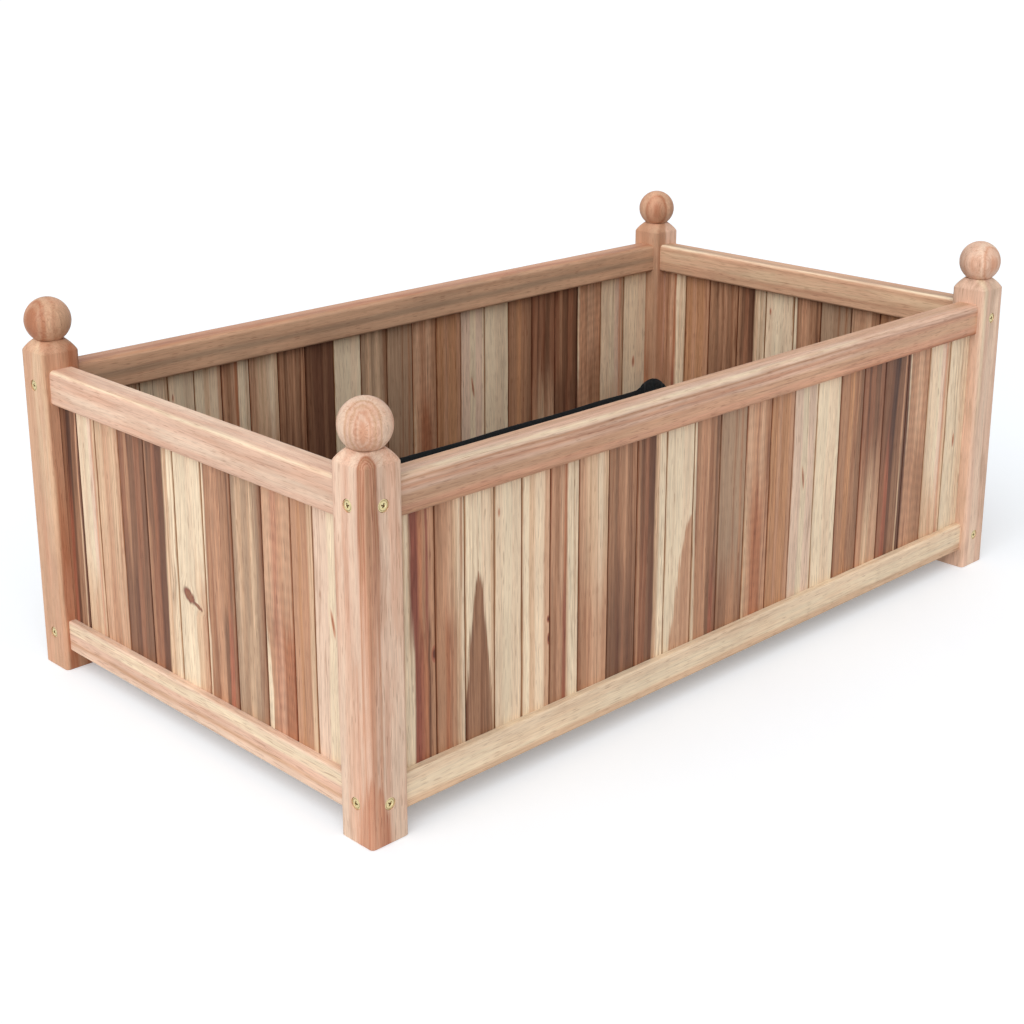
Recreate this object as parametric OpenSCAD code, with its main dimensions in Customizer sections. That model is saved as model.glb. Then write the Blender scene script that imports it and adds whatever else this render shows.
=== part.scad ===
// Raised garden bed: a rectangular box of tongued boards held in grooved rails between four posts
// with turned balls on top, a slatted floor on ledgers, and a black felt liner. It doesn't move.
// Millimetres. X runs along the bed, Y across it and Z up. The origin is on the ground, at the
// middle of the footprint. Every wall is drawn in its own plane: x from left to right as seen
// from outside, y inwards from the posts' outer faces, and z up from the ground.

/* [Overall] */
// Length over the posts
bed_l = 1200; // [900:10:1500]
// Width over the posts
bed_w = 670; // [520:10:900]

/* [Posts] */
// Side of the square post
post_w = 52; // [50:1:60]
// Height from the ground to the shoulder of the post's cap
post_h = 423; // [380:1:600]
// Rounding of the post's upright corners
post_r = 5; // [2:0.5:7]
// Rise of the domed cap above its shoulder
cap_rise = 14; // [10:1:18]
// Width of the square flat on top of the cap
cap_flat = 33; // [33:0.5:36]
// Radius of the cap's four curved faces
cap_curve_r = 40; // [30:1:80]
// Rounding of the cap's hips where they meet the flat on top
cap_hip_r = 9; // [5:1:14]

/* [Ball finials] */
// Diameter of the ball
ball_d = 58; // [50:1:62]
// Depth of the slice cut off the ball to make its seat
ball_seat_cut = 5; // [3:0.5:5]
// Diameter of the double-ended screw that holds the ball
stud_d = 6; // [5:0.5:8]
// Length of that screw, half of it in the post
stud_l = 44; // [30:1:46]

/* [Rails] */
// Thickness of all rails
rail_t = 36; // [34:0.5:38]
// Step from the post's outer face back to the rail's outer face
rail_inset = 8; // [5:0.5:10]
// Height of the top rails
top_rail_h = 44; // [40:1:60]
// Drop from the shoulder of the post to the top of the top rails
top_rail_drop = 20; // [10:1:40]
// Rounding of the top rails' upper edges
top_rail_r = 6; // [2:0.5:8]
// Height of the bottom rails
bottom_rail_h = 42; // [38:1:60]
// Rounding of the bottom rails' upper edges
bottom_rail_r = 2.5; // [1:0.5:5]
// Rounding of all rails' lower edges
rail_under_r = 4; // [1:0.5:6]
// Clear height under the bottom rails
foot_h = 26; // [10:1:60]

/* [Rail joints] */
// Thickness of the tenons
tenon_t = 12; // [8:0.5:13]
// Step from the rail's outer face back to the tenon
tenon_set = 4; // [3:0.5:5]
// Step from the rail's plain edge to the tenon
tenon_shoulder = 4; // [2:0.5:8]
// Step from the groove's bottom to the tenon
tenon_web = 2; // [1:0.5:4]
// Gap between the mitred ends of two tenons in one post
mitre_gap = 1; // [0.5:0.1:2]
// Clearance round each tenon
tenon_fit = 0.2; // [0.1:0.05:0.4]
// Diameter of the joint screw's shank
pin_d = 4.4; // [3.5:0.1:5]
// Depth that the joint screw's point reaches behind the post's face
pin_reach = 21.5; // [18:0.5:22]
// Length of the joint screw's point
pin_point = 3; // [2:0.5:4]
// Diameter of the joint screw's head
pin_head_d = 14; // [10:0.5:16]
// Thickness of the joint screw's head at its rim
pin_head_rim = 1.2; // [0.8:0.1:1.6]
// Rise of the joint screw's crowned head above its rim
pin_head_crown = 0.8; // [0.3:0.1:1.2]
// Depth of the crown's middle below the post's face
pin_sink = 0.2; // [0:0.1:1]
// Clearance round the joint screw's head
pin_head_fit = 0.3; // [0.1:0.1:0.6]
// Clearance round the shanks of all screws
screw_fit = 0.05; // [0.02:0.01:0.2]
// Length of each arm of the cross recesses, as a share of the head's width
cross_share = 0.56; // [0.4:0.02:0.7]
// Width of the slots of the cross recesses
cross_w = 1.3; // [0.8:0.1:1.6]
// Depth of the cross recesses
cross_deep = 1.2; // [0.6:0.1:1.4]

/* [Boards] */
// Thickness of the boards
board_t = 10; // [8:0.5:12]
// Step from the rail's outer face back to the boards
board_set = 10; // [8:0.5:12]
// Gap between the faces of two boards
board_gap = 1; // [0.4:0.1:2]
// Bevel along the boards' edges
board_bevel = 0.7; // [0.3:0.1:1.2]
// Thickness of the tongues
tongue_t = 3; // [2:0.1:4]
// Depth that a tongue reaches into the next board
tongue_reach = 4; // [2:0.5:6]
// Clearance round each tongue
tongue_fit = 0.2; // [0.1:0.05:0.4]
// Depth of the rails' grooves
rail_groove = 10; // [6:0.5:12]
// Depth of the posts' grooves
post_groove = 6; // [4:0.5:8]
// Clearance at each face of a board in a groove
groove_fit = 0.25; // [0.1:0.05:0.5]
// Gap left at the top and the ends of the boards for the wood to swell
swell_gap = 1.5; // [0.5:0.5:3]

/* [Floor] */
// Width of a floor slat
slat_w = 90; // [60:1:120]
// Thickness of a floor slat
slat_t = 16; // [12:1:20]
// Least gap between two slats, for drainage
slat_gap = 8; // [5:1:15]
// Gap between the end slats and the posts' inner faces
slat_end_gap = 2; // [1:0.5:6]
// Gap between a slat's end and the bottom rail
slat_side_gap = 0.5; // [0.3:0.1:3]
// Width of the ledgers
ledger_w = 25; // [20:1:40]
// Height of the ledgers
ledger_h = 20; // [18:1:24]
// Shank diameter of the floor's screws
floor_screw_d = 4; // [3:0.5:5]
// Head diameter of the floor's screws
floor_screw_head_d = 8; // [7:0.5:10]
// Length of the screws that hold the slats
slat_screw_l = 30; // [24:1:32]
// Length of the screws that hold the ledgers
ledger_screw_l = 40; // [35:1:45]

/* [Liner] */
// Thickness of the felt
felt_t = 1.5; // [1:0.1:3]
// Height of the liner's edge above the floor
liner_h = 82; // [40:1:240]
// Rise of the liner's rounded ears at the posts
ear_rise = 20; // [10:1:30]
// Radius of the ears
ear_r = 24; // [20:1:30]
// Gap between the liner and what it lies against
liner_gap = 0.3; // [0.2:0.1:1]
// Distance of the staples below the liner's edge
staple_drop = 12; // [8:1:20]
// Width of a staple
staple_w = 11; // [8:1:14]
// Wire size of a staple
staple_wire = 1.2; // [0.8:0.1:1.6]
// Length of a staple's legs
staple_leg = 8; // [6:0.5:9]
// Clearance round a staple's legs
staple_fit = 0.05; // [0.02:0.01:0.1]
// Spacing of the staples, at most
staple_pitch = 240; // [120:10:400]

/* [Hidden] */
// Widths of each wall's boards, left to right from outside. They share out the wall's length.
FRONT_BOARDS = [57, 43, 44, 42, 45, 47, 50, 49, 53, 51, 50, 52, 50, 48, 50, 52, 53, 50, 56, 54, 52, 48];
REAR_BOARDS = [55, 56, 57, 51, 53, 52, 52, 50, 50, 48, 50, 49, 50, 51, 48, 49, 46, 44, 41, 43, 42, 55];
LEFT_BOARDS = [39, 41, 53, 55, 61, 56, 57, 57, 52, 38, 57];
RIGHT_BOARDS = [45, 45, 45, 52, 57, 52, 56, 57, 60, 51, 46];

WALLS = ["front", "rear", "left", "right"];
POSTS = ["front_left", "front_right", "rear_left", "rear_right"];

// Lengths between the posts, and heights of the frame's parts
function span(wall) = (wall == "front" || wall == "rear" ? bed_l : bed_w) - 2 * post_w;
function depth(wall) = wall == "front" || wall == "rear" ? bed_w / 2 : bed_l / 2;
function turn(wall) = wall == "front" ? 0 : wall == "rear" ? 180 : wall == "left" ? -90 : 90;
function boards(wall) =
    wall == "front" ? FRONT_BOARDS : wall == "rear" ? REAR_BOARDS :
    wall == "left" ? LEFT_BOARDS : RIGHT_BOARDS;
post_top = post_h + cap_rise;
ball_z = post_top + ball_d / 2 - ball_seat_cut;
top_rail_z = post_h - top_rail_drop - top_rail_h;
bottom_rail_z = foot_h;
floor_z = bottom_rail_z + bottom_rail_h;
rail_back = rail_inset + rail_t;

// Tenons: where they lie in the post, and their heights on both kinds of rail
tenon_y = rail_inset + tenon_set;
top_tenon_z = top_rail_z + rail_groove + tenon_web;
top_tenon_h = top_rail_z + top_rail_h - tenon_shoulder - top_tenon_z;
bottom_tenon_z = bottom_rail_z + tenon_shoulder;
bottom_tenon_h = floor_z - rail_groove - tenon_web - bottom_tenon_z;
top_pin_z = top_rail_z + top_rail_h / 2;
bottom_pin_z = bottom_rail_z + bottom_rail_h / 2;
pin_head_h = pin_head_rim + pin_head_crown;
pin_seat = pin_sink + pin_head_h;
pin_hole_spare = 1;

// Boards, in their wall's plane
board_y = rail_inset + board_set;
board_back = board_y + board_t;
board_z = floor_z - rail_groove;
board_top = top_rail_z + rail_groove - swell_gap;
board_end = post_groove - swell_gap;

// Floor
slat_run = bed_l - 2 * (post_w + slat_end_gap);
slat_n = floor((slat_run + slat_gap) / (slat_w + slat_gap));
slat_pitch = (slat_run - slat_w) / (slat_n - 1);
slat_l = bed_w - 2 * (rail_back + slat_side_gap);
ledger_z = floor_z - slat_t - ledger_h;
ledger_y = rail_back;
slat_screw_y = ledger_y + ledger_w / 2;
ledger_screw_z = ledger_z + ledger_h / 2;
countersink_h = (floor_screw_head_d - floor_screw_d) / 2;
screw_point = 4;
point_d = 1;
ledger_screw_every = 3;

// Liner
liner_top = floor_z + liner_h;
staple_z = liner_top - staple_drop;
crown_gap = 0.1;

// Drawing
cut = 1;            // how far a cutter runs past the face that it cuts
round_fn = 48;

function sum_to(v, n) = n == 0 ? 0 : v[n - 1] + sum_to(v, n - 1);
function joint_x(wall, k) =
    let (v = boards(wall)) span(wall) * (sum_to(v, k) / sum_to(v, len(v)) - 0.5);
function slat_x(i) = -slat_run / 2 + slat_w / 2 + i * slat_pitch;
function staple_count(wall) = ceil(span(wall) / staple_pitch);
function staple_x(wall, i) = span(wall) * ((i + 0.5) / staple_count(wall) - 0.5);

// Puts a thing drawn in a wall's plane where the wall stands
module on_wall(wall)
    rotate([0, 0, turn(wall)]) translate([0, -depth(wall), 0]) children();

// Puts a thing drawn round a post's axis where the post stands. Its mortises face +X and +Y
// at the front left, and the others are its mirror images.
module at_post(p) {
    right = p == "front_right" || p == "rear_right";
    rear = p == "rear_left" || p == "rear_right";
    mirror([right ? 1 : 0, 0, 0]) mirror([0, rear ? 1 : 0, 0])
        translate([-bed_l / 2, -bed_w / 2, 0]) children();
}

// A square with rounded corners, from the origin
module rounded_square(size, r) {
    translate([r, 0]) square([size - 2 * r, size]);
    translate([0, r]) square([size, size - 2 * r]);
    for (x = [r, size - r], y = [r, size - r])
        translate([x, y]) circle(r = r, $fn = round_fn);
}

// Outline of the post's cap from the side, on the post's axis, above its shoulder
module cap_outline(half_foot, half_top, rise, r) {
    chord = norm([half_foot - half_top, rise]);
    reach = sqrt(r * r - chord * chord / 4);
    cx = (half_foot + half_top) / 2 - reach * rise / chord;
    cz = rise / 2 - reach * (half_foot - half_top) / chord;
    intersection() {
        translate([-half_foot, 0]) square([2 * half_foot, rise]);
        translate([cx, cz]) circle(r = r, $fn = 4 * round_fn);
        translate([-cx, cz]) circle(r = r, $fn = 4 * round_fn);
    }
}

// One pair of the cap's faces, curved over and pulled through the post
module cap_vault()
    rotate([90, 0, 0]) linear_extrude(height = post_w + 2 * cut, center = true)
        cap_outline(post_w / 2, cap_flat / 2, cap_rise, cap_curve_r);

// How far a rounding draws in the corner of a square
function corner_draw(r) = (sqrt(2) - 1) * r;

// The round form that eases the cap's four hips
module cap_hips()
    rotate_extrude($fn = 2 * round_fn) intersection() {
        square([post_w, cap_rise]);
        cap_outline(post_w / sqrt(2) - corner_draw(post_r),
            cap_flat / sqrt(2) - corner_draw(cap_hip_r), cap_rise, cap_curve_r);
    }

module post_body()
    intersection() {
        linear_extrude(height = post_top) rounded_square(post_w, post_r);
        union() {
            cube([post_w, post_w, post_h]);
            translate([post_w / 2, post_w / 2, post_h]) intersection() {
                cap_vault();
                rotate([0, 0, 90]) cap_vault();
                cap_hips();
            }
        }
    }

// The joint screws of one post run inwards from its two outer faces, at both rails.
// The children are drawn round +Z with the post's face at z = 0, pointing into the post.
module at_pins()
    for (z = [top_pin_z, bottom_pin_z]) {
        translate([post_w / 2, 0, z]) rotate([-90, 0, 0]) children();
        translate([0, post_w / 2, z]) rotate([0, 90, 0]) children();
    }

module pin_hole() {
    translate([0, 0, -cut])
        cylinder(d = pin_head_d + 2 * pin_head_fit, h = pin_seat + cut, $fn = round_fn);
    cylinder(d = pin_d + 2 * screw_fit, h = pin_reach + pin_hole_spare, $fn = round_fn);
}

// The corner-shaped pocket that takes both rails' tenons
module mortise(z, h) {
    low = tenon_y - tenon_fit;
    wide = tenon_t + 2 * tenon_fit;
    translate([low, low, z - tenon_fit]) {
        cube([post_w - low + cut, wide, h + 2 * tenon_fit]);
        cube([wide, post_w - low + cut, h + 2 * tenon_fit]);
    }
}

// The grooves that take the end boards of both walls
module post_grooves() {
    wide = board_t + 2 * groove_fit;
    translate([0, 0, board_z]) {
        translate([post_w - post_groove, board_y - groove_fit, 0])
            cube([post_groove + cut, wide, board_top + swell_gap - board_z]);
        translate([board_y - groove_fit, post_w - post_groove, 0])
            cube([wide, post_groove + cut, board_top + swell_gap - board_z]);
    }
}

module stud_hole(z0, z1)
    translate([post_w / 2, post_w / 2, z0])
        cylinder(d = stud_d + 2 * screw_fit, h = z1 - z0, $fn = round_fn);

module post(p)
    color("burlywood") at_post(p) difference() {
        post_body();
        mortise(top_tenon_z, top_tenon_h);
        mortise(bottom_tenon_z, bottom_tenon_h);
        post_grooves();
        at_pins() pin_hole();
        stud_hole(post_top - stud_l / 2 - cut, post_top + cut);
    }

module finial(p)
    color("tan") at_post(p) difference() {
        translate([post_w / 2, post_w / 2, ball_z]) sphere(d = ball_d, $fn = 2 * round_fn);
        translate([0, 0, post_top - ball_d]) cube([post_w, post_w, ball_d]);
        stud_hole(post_top - cut, post_top + stud_l / 2 + cut);
    }

// A tenon seen from above, in the wall's plane, at the wall's left post. Its end is mitred.
module tenon(wall, z, h) {
    x0 = -span(wall) / 2;
    shoulder = x0 + cut;
    tip = x0 - post_w + tenon_y + mitre_gap;
    translate([0, 0, z]) linear_extrude(height = h) polygon([
        [shoulder, tenon_y], [tip, tenon_y],
        [tip + tenon_t, tenon_y + tenon_t], [shoulder, tenon_y + tenon_t]
    ]);
}

// Both tenons of a rail, with the holes that the joint screws need
module tenons(wall, z, h, pin_z)
    for (m = [0, 1]) mirror([m, 0, 0]) difference() {
        tenon(wall, z, h);
        translate([-span(wall) / 2 - post_w / 2, 0, pin_z]) rotate([-90, 0, 0])
            cylinder(d = pin_d + 2 * screw_fit, h = pin_reach + pin_hole_spare, $fn = round_fn);
    }

// Cross-section of a rail with its edges rounded, from the rail's outer face at y = 0
module rail_section(h, r_top)
    difference() {
        square([rail_t, h]);
        for (m = [0, 1]) translate([m * rail_t, 0]) mirror([m, 0]) {
            translate([0, h]) corner_waste(r_top);
            mirror([0, 1]) corner_waste(rail_under_r);
        }
    }

// What a rounding takes off the upper left corner at the origin
module corner_waste(r)
    difference() {
        translate([-cut, -r]) square([r + cut, r + cut]);
        translate([r, -r]) circle(r = r, $fn = round_fn);
    }

// A rail's body along its wall, its outer face at rail_inset
module rail_body(wall, z, h, r_top)
    translate([-span(wall) / 2, rail_inset, z])
        rotate([90, 0, 90]) linear_extrude(height = span(wall)) rail_section(h, r_top);

// The groove for the boards, in a rail's upper or lower edge
module rail_groove_cut(wall, z0, z1)
    translate([-span(wall) / 2 - cut, board_y - groove_fit, z0])
        cube([span(wall) + 2 * cut, board_t + 2 * groove_fit, z1 - z0]);

module top_rail(wall)
    color("peru") on_wall(wall) {
        difference() {
            rail_body(wall, top_rail_z, top_rail_h, top_rail_r);
            rail_groove_cut(wall, top_rail_z - cut, top_rail_z + rail_groove);
        }
        tenons(wall, top_tenon_z, top_tenon_h, top_pin_z);
    }

module bottom_rail(wall)
    color("wheat") on_wall(wall) difference() {
        union() {
            difference() {
                rail_body(wall, bottom_rail_z, bottom_rail_h, bottom_rail_r);
                rail_groove_cut(wall, floor_z - rail_groove, floor_z + cut);
            }
            tenons(wall, bottom_tenon_z, bottom_tenon_h, bottom_pin_z);
        }
        if (wall == "front" || wall == "rear") at_ledger_screws() ledger_screw_hole();
    }

// One board from above, from joint a to joint b, with a groove on its left edge and a tongue
// on its right one. The end boards have plain edges in the posts' grooves.
module board_outline(a, b, first, last) {
    c = board_bevel;
    l = first ? a - board_end : a + board_gap / 2;
    r = last ? b + board_end : b - board_gap / 2;
    mid = board_t / 2;
    hollow = tongue_reach + 2 * tongue_fit;
    half_hollow = tongue_t / 2 + tongue_fit;
    polygon(concat(
        [[l + c, 0], [r - c, 0], [r, c]],
        last ? [] : [
            [r, mid - tongue_t / 2], [r + board_gap + tongue_reach, mid - tongue_t / 2],
            [r + board_gap + tongue_reach, mid + tongue_t / 2], [r, mid + tongue_t / 2]
        ],
        [[r, board_t - c], [r - c, board_t], [l + c, board_t], [l, board_t - c]],
        first ? [] : [
            [l, mid + half_hollow], [l + hollow, mid + half_hollow],
            [l + hollow, mid - half_hollow], [l, mid - half_hollow]
        ],
        [[l, c]]
    ));
}

module wall_boards(wall)
    color("sandybrown") on_wall(wall) difference() {
        n = len(boards(wall));
        for (k = [0:n - 1]) translate([0, board_y, board_z])
            linear_extrude(height = board_top - board_z)
                board_outline(joint_x(wall, k), joint_x(wall, k + 1), k == 0, k == n - 1);
        staple_slots(wall);
    }

// The screws through the ledger lie between slats, so that they miss the slats' screws
module at_ledger_screws()
    for (i = [0:ledger_screw_every:slat_n - 2])
        translate([(slat_x(i) + slat_x(i + 1)) / 2, ledger_y + ledger_w, ledger_screw_z])
            rotate([90, 0, 0]) children();

module at_slat_screws(i)
    for (m = [0, 1]) mirror([0, m, 0])
        translate([slat_x(i), -bed_w / 2 + slat_screw_y, floor_z]) rotate([180, 0, 0]) children();

// A countersunk screw pointing along +Z with the top of its head at z = 0
module wood_screw(l) {
    difference() {
        cylinder(d1 = floor_screw_head_d, d2 = floor_screw_d, h = countersink_h, $fn = round_fn);
        cross_recess(floor_screw_head_d);
    }
    translate([0, 0, countersink_h])
        cylinder(d = floor_screw_d, h = l - countersink_h - screw_point, $fn = round_fn);
    translate([0, 0, l - screw_point])
        cylinder(d1 = floor_screw_d, d2 = point_d, h = screw_point, $fn = round_fn);
}

module wood_screw_hole(l) {
    d = floor_screw_d + 2 * screw_fit;
    head_d = floor_screw_head_d + 2 * screw_fit;
    cylinder(d1 = head_d, d2 = d, h = countersink_h, $fn = round_fn);
    translate([0, 0, -cut]) cylinder(d = head_d, h = cut, $fn = round_fn);
    cylinder(d = d, h = l + cut, $fn = round_fn);
}

module ledger_screw_hole() wood_screw_hole(ledger_screw_l);

// A cross recess cut into a head whose top is at z = 0
module cross_recess(head_d) {
    arm = head_d * cross_share;
    for (a = [0, 90]) rotate([0, 0, a])
        translate([-arm / 2, -cross_w / 2, -cut]) cube([arm, cross_w, cross_deep + cut]);
}

module floor_ledger(wall)
    color("burlywood") difference() {
        on_wall(wall) translate([-slat_run / 2, ledger_y, ledger_z])
            cube([slat_run, ledger_w, ledger_h]);
        on_wall(wall) at_ledger_screws() ledger_screw_hole();
        for (i = [0:slat_n - 1]) at_slat_screws(i) wood_screw_hole(slat_screw_l);
    }

module floor_slat(i)
    color("wheat") difference() {
        translate([slat_x(i) - slat_w / 2, -slat_l / 2, floor_z - slat_t])
            cube([slat_w, slat_l, slat_t]);
        at_slat_screws(i) wood_screw_hole(slat_screw_l);
    }

// The liner from above: a rectangle between the boards with the posts' corners left out,
// drawn in by g from what it lies against
module liner_outline(g) {
    square([bed_l - 2 * (board_back + g), bed_w - 2 * (post_w + g)], center = true);
    square([bed_l - 2 * (post_w + g), bed_w - 2 * (board_back + g)], center = true);
}

// The felt that stands up against the two inner faces of a post
module liner_ear() {
    low = post_w + liner_gap;
    run = post_w - board_back + felt_t;
    centre_z = liner_top + ear_rise - ear_r;
    for (m = [0, 1]) mirror([m, -m, 0]) intersection() {
        translate([low - run + felt_t, low, floor_z])
            cube([run, felt_t, liner_top + ear_rise - floor_z]);
        translate([low + felt_t, low, centre_z]) rotate([-90, 0, 0])
            cylinder(r = ear_r, h = felt_t, $fn = 2 * round_fn);
    }
}

module liner()
    color("dimgray") difference() {
        union() {
            translate([0, 0, floor_z]) {
                linear_extrude(height = felt_t) liner_outline(liner_gap);
                linear_extrude(height = liner_h) difference() {
                    liner_outline(liner_gap);
                    liner_outline(liner_gap + felt_t);
                }
            }
            for (p = POSTS) at_post(p) liner_ear();
        }
        for (w = WALLS) on_wall(w) staple_slots(w);
    }

// A staple's place in its wall's plane: its crown lies on the felt, and its legs run outwards
module at_staples(wall)
    for (i = [0:staple_count(wall) - 1])
        translate([staple_x(wall, i), board_back + liner_gap + felt_t, staple_z]) children();

module staple_legs(g)
    for (s = [-1, 1]) translate([s * (staple_w - staple_wire) / 2, crown_gap - staple_leg / 2, 0])
        cube([staple_wire + 2 * g, staple_leg + 2 * g, staple_wire + 2 * g], center = true);

module staple_slots(wall) at_staples(wall) staple_legs(staple_fit);

module liner_staples()
    color("black") for (w = WALLS) on_wall(w) at_staples(w) {
        staple_legs(0);
        translate([-staple_w / 2, crown_gap, -staple_wire / 2])
            cube([staple_w, staple_wire, staple_wire]);
    }

// A joint screw pointing along +Z, its crown's middle at pin_sink below z = 0
module joint_screw()
    translate([0, 0, pin_sink]) difference() {
        crown_r = (pow(pin_head_d / 2, 2) + pow(pin_head_crown, 2)) / (2 * pin_head_crown);
        union() {
            intersection() {
                cylinder(d = pin_head_d, h = pin_head_h, $fn = round_fn);
                translate([0, 0, crown_r]) sphere(r = crown_r, $fn = 4 * round_fn);
            }
            shank = pin_reach - pin_seat - pin_point;
            translate([0, 0, pin_head_h]) cylinder(d = pin_d, h = shank, $fn = round_fn);
            translate([0, 0, pin_head_h + shank])
                cylinder(d1 = pin_d, d2 = point_d, h = pin_point, $fn = round_fn);
        }
        cross_recess(pin_head_d);
    }

module joint_screws()
    color("gold") for (p = POSTS) at_post(p) at_pins() joint_screw();

module finial_screws()
    color("silver") for (p = POSTS) at_post(p)
        translate([post_w / 2, post_w / 2, post_top]) for (m = [0, 1]) mirror([0, 0, m]) {
            cylinder(d = stud_d, h = stud_l / 2 - screw_point, $fn = round_fn);
            translate([0, 0, stud_l / 2 - screw_point])
                cylinder(d1 = stud_d, d2 = point_d, h = screw_point, $fn = round_fn);
        }

module slat_screws()
    color("silver") for (i = [0:slat_n - 1]) at_slat_screws(i) wood_screw(slat_screw_l);

module ledger_screws()
    color("silver") for (w = ["front", "rear"]) on_wall(w) at_ledger_screws()
        wood_screw(ledger_screw_l);

for (p = POSTS) {
    post(p);
    finial(p);
}
for (w = WALLS) {
    top_rail(w);
    bottom_rail(w);
    wall_boards(w);
}
floor_ledger("front");  // floor_ledger_front
floor_ledger("rear");  // floor_ledger_rear
for (i = [0:slat_n - 1]) floor_slat(i);
liner();
joint_screws();
finial_screws();
slat_screws();
ledger_screws();
liner_staples();
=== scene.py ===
import math

import bmesh
import bpy
from mathutils import Color, Matrix, Quaternion, Vector
from mathutils import noise as field


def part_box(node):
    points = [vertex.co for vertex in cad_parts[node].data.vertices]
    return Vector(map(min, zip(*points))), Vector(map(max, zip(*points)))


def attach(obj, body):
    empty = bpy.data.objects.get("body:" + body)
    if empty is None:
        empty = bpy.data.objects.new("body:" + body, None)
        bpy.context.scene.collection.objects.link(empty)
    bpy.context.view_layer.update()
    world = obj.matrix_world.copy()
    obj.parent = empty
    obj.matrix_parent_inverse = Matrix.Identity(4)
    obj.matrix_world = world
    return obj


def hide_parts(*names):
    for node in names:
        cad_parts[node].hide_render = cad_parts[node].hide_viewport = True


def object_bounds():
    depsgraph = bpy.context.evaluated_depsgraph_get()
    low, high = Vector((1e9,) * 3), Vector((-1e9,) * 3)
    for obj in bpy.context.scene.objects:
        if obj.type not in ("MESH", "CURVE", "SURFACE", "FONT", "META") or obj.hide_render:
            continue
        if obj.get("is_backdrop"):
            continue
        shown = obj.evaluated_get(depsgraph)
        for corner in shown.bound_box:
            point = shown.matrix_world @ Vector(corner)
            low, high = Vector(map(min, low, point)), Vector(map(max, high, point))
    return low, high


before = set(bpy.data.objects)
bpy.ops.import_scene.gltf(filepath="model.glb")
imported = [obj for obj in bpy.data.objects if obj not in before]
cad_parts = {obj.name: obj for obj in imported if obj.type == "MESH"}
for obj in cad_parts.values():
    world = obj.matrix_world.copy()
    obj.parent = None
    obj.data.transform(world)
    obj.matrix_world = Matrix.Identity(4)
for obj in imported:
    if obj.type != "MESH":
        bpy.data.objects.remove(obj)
cad_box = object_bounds()

# A raised garden bed of oiled wood: posts with turned balls, grooved rails, tongued boards, a
# slatted floor and a black felt liner. Metres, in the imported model's frame.
# Every timber piece is built with its grain along its own Z, and its object is turned into place.

MM = 0.001
WALLS = ("front", "rear", "left", "right")
POSTS = ("front_left", "front_right", "rear_left", "rear_right")
UP = Vector((0, 0, 1))

# Boards
BOARD_T = 10 * MM
BOARD_BEVEL = 0.7 * MM
BOARD_ROUND = 1 * MM
BOARD_HEADROOM = 1.5 * MM
TONGUE_T = 3 * MM
TONGUE_OUT = 5 * MM
TONGUE_ROUND = 0.4 * MM
HOLLOW_T = 3.4 * MM
HOLLOW_IN = 4.4 * MM

# Rails
TOP_RAIL_ROUND = 6 * MM
BOTTOM_RAIL_ROUND = 2.5 * MM
RAIL_UNDER_ROUND = 4 * MM
GROOVE_DEEP = 10 * MM
GROOVE_FIT = 0.25 * MM
TENON_SET = 4 * MM
TENON_T = 12 * MM
TENON_SHOULDER = 4 * MM
TENON_WEB = 2 * MM
TENON_FIT = 0.2 * MM
RAIL_LEAN = 0.35      # how far a rail's bands move up its end for each metre into it

# Posts and balls
POST_ROUND = 5 * MM
FOOT_EASE = 0.8 * MM
CAP_RISE = 14 * MM
CAP_FLAT = 33 * MM
CAP_CURVE = 40 * MM
CAP_HIP_ROUND = 9 * MM
CAP_STEPS = 14
SHOULDER_EASE = 0.4 * MM
POST_GROOVE = 6 * MM
BALL_R = 29 * MM
BALL_CUT = 5 * MM
BALL_STEPS = 56
STUD_BORE_R = 3.05 * MM
STUD_BORE_DEEP = 23 * MM
PITH_REACH = 75 * MM  # width round the heart that a post's or ball's bands are drawn for

# Joint screws
HEAD_R = 7 * MM
HEAD_FIT = 0.3 * MM
HEAD_RIM = 1.2 * MM
HEAD_CROWN = 0.8 * MM
HEAD_SINK = 0.2 * MM
HEAD_GROOVE_R = 5.3 * MM
HEAD_GROOVE_W = 0.7 * MM
HEAD_GROOVE_DEEP = 0.3 * MM
HEAD_EASE = 0.3 * MM
RECESS_DEEP = 1.5 * MM
RECESS_REACH = 3.9 * MM
RECESS_HALF_W = 1 * MM
HEAD_SEGMENTS = 64
SHANK_R = 2.2 * MM
SCREW_REACH = 21.5 * MM
SCREW_POINT = 3 * MM
SCREW_TIP_R = 0.5 * MM
SCREW_TURN = 37       # degrees from one screw's recess to the next one's
HOLE_FIT = 0.05 * MM
HOLE_DEEP = 22.5 * MM

# Liner and staples
FELT_T = 1.5 * MM
FELT_GAP = 0.3 * MM
LINER_RIM = 150 * MM
EAR_R = 44 * MM
EAR_TOP = 172 * MM
FOLD_ROUND = 4 * MM
FELT_GRID = (9 * MM, 12 * MM)
FELT_ROWS = 10
FELT_SAG = 0.9 * MM
FELT_CREASE = 3 * MM
FELT_FLAT = 50 * MM    # width along the walls in which the creases fade
FELT_BILLOW = 3.5 * MM
BILLOWS = (5, 3)       # on a long side and on a short one
BILLOW_FADE = 60 * MM  # length at the posts in which the billows fade
RIM_WAVE = 0.8 * MM
SLATS = [f"floor_slat_{k + 1}" for k in range(11)]
WIRE_R = 0.6 * MM
WIRE_BEND = 1.2 * MM

WELD = 0.002 * MM
ON_FACE = 0.02 * MM
PAST = 1 * MM
CREASE = 38           # degrees past which an edge stays sharp

# First number of each kind of piece. It shifts the figure, so that no two pieces look alike.
WALL_SEEDS = 31
SEEDS = {"bottom_rail": 130, "top_rail": 134, "post": 150, "ball": 160, "slat": 171,
         "ledger": 190}


# Meshes

def swung(centre, start, end, share):
    """The point a share of the way along the arc round centre from start to end."""
    arm = start - centre
    return centre + arm.slerp(end - centre, share).normalized() * arm.length


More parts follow.
